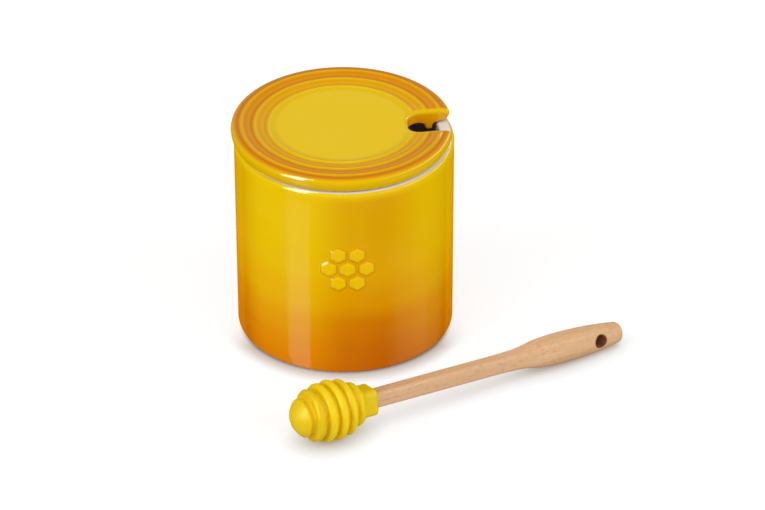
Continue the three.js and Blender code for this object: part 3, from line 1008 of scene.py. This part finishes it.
pot = new_object("pot_stoneware", pot_mesh())
part(pot, pot_look(), "pot", "pot")

lid, lid_places = skin("lid_stoneware", "lid", LID_VOXEL, to_lid, lid_distance)
from_notch = notch_distance(lid_places[:, 0], lid_places[:, 1])
above = smooth_step(lid_places[:, 2], *NOTCH_EDGE_HEIGHT)
keep_values(lid.data, "notch", (1 - smooth_step(from_notch, *NOTCH_EDGE_REACH)) * above)
keep_values(lid.data, "notch_wall", (1 - smooth_step(from_notch, *NOTCH_WALL_REACH)) * (1 - above))
part(lid, lid_look(), "lid", "lid")

head, head_places = skin(
    "dipper_head_silicone", "dipper_head", HEAD_VOXEL, to_dipper, head_distance, HEAD_INSET
)
head_along, head_side, head_up = head_places.T
ribbed_along = np.clip(head_along, TIP_MARGIN, HEAD_RIBS_END)
envelope = np.array([head_envelope(at) for at in ribbed_along])
# The depth below the ribs' envelope sets where the grooves get painted light
groove = smooth_step(envelope - np.hypot(head_side, head_up), *GROOVE_PAINTED_LIGHT_DEPTH)
keep_values(head.data, "groove", groove * (head_along < HEAD_RIBS_END))
keep_values(head.data, "along", head_along / HEAD_LENGTH)
part(head, silicone_look(), "dipper_head", "dipper_head")

handle, handle_places = skin(
    "dipper_handle_beech", "dipper_handle", HANDLE_VOXEL, to_dipper, handle_distance
)
keep_values(handle.data, "grain", handle_places * MM)
from_hole = np.hypot(handle_places[:, 0] - hang_hole_at, handle_places[:, 2])
# Painted shade inside the hang hole
keep_values(handle.data, "painted_hole_shade", 1 - smooth_step(from_hole, *HOLE_SHADE_RADIUS))
part(handle, beech_look(), "dipper_handle", "dipper")

# The pot's glaze doesn't mirror the dipper in the photograph
head.visible_glossy = False
handle.visible_glossy = False


# Camera

def make_camera():
    cos, sin = math.cos(CAMERA_YAW), math.sin(CAMERA_YAW)
    looking = Vector((
        sin * math.cos(CAMERA_PITCH), cos * math.cos(CAMERA_PITCH), -math.sin(CAMERA_PITCH),
    ))
    camera = bpy.data.objects.new("camera", bpy.data.cameras.new("camera"))
    camera.location = (0, -CAMERA_DISTANCE * MM, CAMERA_HEIGHT * MM)
    turn = looking.to_track_quat("-Z", "Y").to_matrix()
    roll = Euler((0, 0, CAMERA_ROLL)).to_matrix()
    camera.rotation_euler = (turn @ roll).to_euler()
    camera.data.sensor_width = SENSOR_WIDTH
    camera.data.lens = CAMERA_FOCUS / PICTURE_WIDTH * SENSOR_WIDTH
    bpy.context.scene.collection.objects.link(camera)
    bpy.context.scene.camera = camera


# Studio: a white floor and sky, soft lamps, and cards that only reflections see

AMBIENT = 0.3
WHITE = (1, 1, 1, 1)
FLOOR_REACH = 6000
FLOOR_ALBEDO = 0.75
SEEN_ALBEDO = 0.3
FLOOR_GLOW = 0.73

# Contact shadow on the floor: distances from the pot's axis, and powers that deepen the shadow
CONTACT_REACH = 11
CONTACT_LINE = (49.9, 51.5)
CONTACT_LINE_POWER = 4.5
CONTACT_BAND_POWER = 1.85
CONTACT_FAR_POWER = 0.5
CONTACT_END = (58, 66)
CONTACT_FADE = 29
CONTACT_FADE_POWER = 3.2
CONTACT_TINT = (1, 0.74, 0.45, 1)

# Cards: walls, boxes and patches in front of them, and a strip in front of those, with the
# heights at which one card goes over into the next
CARD_COLUMN_STEP = math.radians(4)
CENTRE_AT = 60
WALL_AT = 1200
BOX_AT = 1190
STRIP_AT = 1180
CARD_REACH = 1900
CARD_BOTTOM = -1500
WALL_LOW = 560
WALL_HIGH = 1150
WALL_TOP = 1430
PATCH_BOTTOM = -1000
PATCH_TOP = -757
STRIP_LOW = -610
STRIP_MIDDLE = 60
STRIP_HIGH = 1100


def sees_background(studio):
    """One for camera, mirror and see-through rays, and zero for the rest"""
    path = studio.node("LightPath").outputs
    bounced = studio.math("MAXIMUM", path["Is Glossy Ray"], path["Is Transmission Ray"])
    return studio.math("MAXIMUM", path["Is Camera Ray"], bounced)


def bare_material(name):
    """A material without a shader; whatever it glows with isn't sampled as a lamp"""
    material = bpy.data.materials.new(name)
    studio = Nodes(material)
    studio.nodes.remove(studio.nodes["Principled BSDF"])
    material.cycles.emission_sampling = "NONE"
    return material, studio


def make_world():
    world = bpy.data.worlds.new("studio")
    bpy.context.scene.world = world
    studio = Nodes(world)
    background = studio.nodes["Background"]
    background.inputs["Color"].default_value = WHITE
    strength = studio.between(sees_background(studio), 0, 1, AMBIENT, 1)
    studio.set(background.inputs["Strength"], strength)


def contact_shadow(studio):
    """How much of its glow the floor keeps. The shadow is a thin line and a soft band at the
    pot's front, fades out at its sides, and is weak under the dipper"""
    place = studio.node("TexCoord").outputs["Object"]
    radius = studio.node("VectorMath", place, operation="LENGTH").outputs["Value"]
    line_low, line_high = [edge * MM for edge in CONTACT_LINE]
    end_low, end_high = [edge * MM for edge in CONTACT_END]
    line = studio.between(radius, line_low, line_high, CONTACT_LINE_POWER, CONTACT_BAND_POWER)
    y = studio.node("SeparateXYZ", place).outputs["Y"]
    front = studio.math("POWER", studio.between(y, 0, -CONTACT_FADE * MM), CONTACT_FADE_POWER)
    near = studio.math("MULTIPLY", line, studio.between(radius, end_low, end_high, 1, 0))
    near = studio.math("MULTIPLY", near, front)
    far = studio.between(radius, end_low, end_high, 0, CONTACT_FAR_POWER)
    power = studio.math("ADD", near, far)
    open_share = studio.node("AmbientOcclusion", None, CONTACT_REACH * MM).outputs["AO"]
    return studio.math("POWER", open_share, power)


def make_floor():
    """A white floor that keeps the shadows. For the rays that see the background, part of its
    white is a glow, which dims near the set"""
    material, studio = bare_material("floor")
    seen = sees_background(studio)
    diffuse = studio.node("BsdfDiffuse", studio.between(seen, 0, 1, FLOOR_ALBEDO, SEEN_ALBEDO))
    shaded = contact_shadow(studio)
    tint = studio.ramp(shaded, [(0, CONTACT_TINT), (0.8, WHITE)], "LINEAR")
    strength = studio.math("MULTIPLY", studio.math("MULTIPLY", shaded, FLOOR_GLOW), seen)
    glow = studio.node("Emission", tint, strength)
    both = studio.node("AddShader", diffuse.outputs[0], glow.outputs[0])
    studio.set(studio.nodes["Material Output"].inputs["Surface"], both.outputs[0])
    reach = FLOOR_REACH * MM
    corners = [(-reach, -reach, 0), (reach, -reach, 0), (reach, reach, 0), (-reach, reach, 0)]
    mesh = bpy.data.meshes.new("floor")
    mesh.from_pydata(corners, [], [(0, 1, 2, 3)])
    mesh.materials.append(material)
    floor = new_object("floor", mesh)
    floor.visible_glossy = False


def card(name, start, end, low, high, shade=WHITE):
    """A curved card round the set, from one side angle to another; 0 is the front and 90 the right.
    Its lower and upper edges are each given as distance, height, and strength there"""
    count = max(round(math.radians(end - start) / CARD_COLUMN_STEP), 1)
    points, faces = [], []
    for i in range(count + 1):
        angle = math.radians(start + (end - start) * i / count)
        across, back = math.sin(angle) * MM, -math.cos(angle) * MM
        for distance, height in (low[:2], high[:2]):
            points.append((distance * across, distance * back, height * MM))
        if i:
            faces.append((2 * i - 2, 2 * i, 2 * i + 1, 2 * i - 1))
    mesh = bpy.data.meshes.new(name)
    mesh.from_pydata(points, [], faces)
    material, studio = bare_material(name)
    up = studio.node("SeparateXYZ", studio.node("TexCoord").outputs["Generated"]).outputs["Z"]
    glow = studio.node("Emission", shade, studio.between(up, 0, 1, low[2], high[2]))
    studio.set(studio.nodes["Material Output"].inputs["Surface"], glow.outputs[0])
    mesh.materials.append(material)
    made = new_object(name, mesh)
    made.visible_camera = False
    made.visible_diffuse = False
    made.visible_transmission = False
    made.visible_volume_scatter = False
    made.visible_shadow = False


def sun(name, azimuth, elevation, strength, spread):
    """A broad, even lamp from a side angle and a height above the horizon"""
    lamp = bpy.data.lights.new(name, "SUN")
    lamp.energy = strength
    lamp.angle = math.radians(spread)
    made = new_object(name, lamp)
    side, up = math.radians(azimuth), math.radians(elevation)
    towards = Vector((math.sin(side) * math.cos(up), -math.cos(side) * math.cos(up), math.sin(up)))
    made.rotation_euler = towards.to_track_quat("Z", "Y").to_euler()


make_camera()
make_world()
make_floor()
sun("key", azimuth=-60, elevation=25, strength=1.7, spread=50)
sun("fill", azimuth=62, elevation=22, strength=1.6, spread=50)
sun("back", azimuth=175, elevation=35, strength=0.7, spread=50)
sun("top", azimuth=-10, elevation=72, strength=0.85, spread=60)

# Each card's side angles, and its lower and upper edge
card("surround", -38, 300, (WALL_AT, CARD_BOTTOM, 0), (WALL_AT, 0, 0))
card("below", 0, 360, (CENTRE_AT, -CARD_REACH, 0.05), (WALL_AT, CARD_BOTTOM, 0.05))
card("warm", 135, 225, (BOX_AT, CARD_BOTTOM, 0.6), (BOX_AT, -300, 0.6), colour(255, 170, 0))
card("front_wall", -38, 120, (WALL_AT, 0, 0.05), (WALL_AT, WALL_TOP, 0.1))
card("left_wall", 240, 300, (WALL_AT, 0, 0.1), (WALL_AT, WALL_TOP, 0.1))
card("back_low", 120, 240, (WALL_AT, 0, 0.12), (WALL_AT, WALL_LOW, 0.24))
card("back_wall", 120, 240, (WALL_AT, WALL_LOW, 0.24), (WALL_AT, WALL_HIGH, 0.09))
card("back_high", 120, 240, (WALL_AT, WALL_HIGH, 0.1), (WALL_AT, WALL_TOP, 0.03))
card("ceiling", 0, 360, (WALL_AT, WALL_TOP, 0.03), (CENTRE_AT, CARD_REACH, 0.03))
card("patch_edge", 46, 56, (BOX_AT, PATCH_BOTTOM, 0.14), (BOX_AT, -760, 0.12))
card("patch_low", 56, 96, (BOX_AT, PATCH_BOTTOM, 0.3), (BOX_AT, PATCH_TOP, 0.29))
card("patch_top", 54, 96, (BOX_AT, PATCH_TOP, 0.29), (BOX_AT, -715, 0))
card("patch_side", 96, 120, (BOX_AT, PATCH_BOTTOM, 0.15), (BOX_AT, -755, 0.1))
card("strip_low", -62.5, -37.3, (STRIP_AT, -800, 1.25), (STRIP_AT, STRIP_LOW, 0.06))
card("strip_mid", -62.5, -37.3, (STRIP_AT, STRIP_LOW, 0.06), (STRIP_AT, STRIP_MIDDLE, 0.3))
card("strip_high", -60, -37.3, (STRIP_AT, STRIP_MIDDLE, 10), (STRIP_AT, STRIP_HIGH, 18))
card("strip_top", -60, -37.3, (STRIP_AT, STRIP_HIGH, 18), (760, 1300, 18))
card("right_box", 60, 150, (BOX_AT, 460, 10), (BOX_AT, 550, 10))

bpy.context.scene.view_settings.view_transform = "Standard"
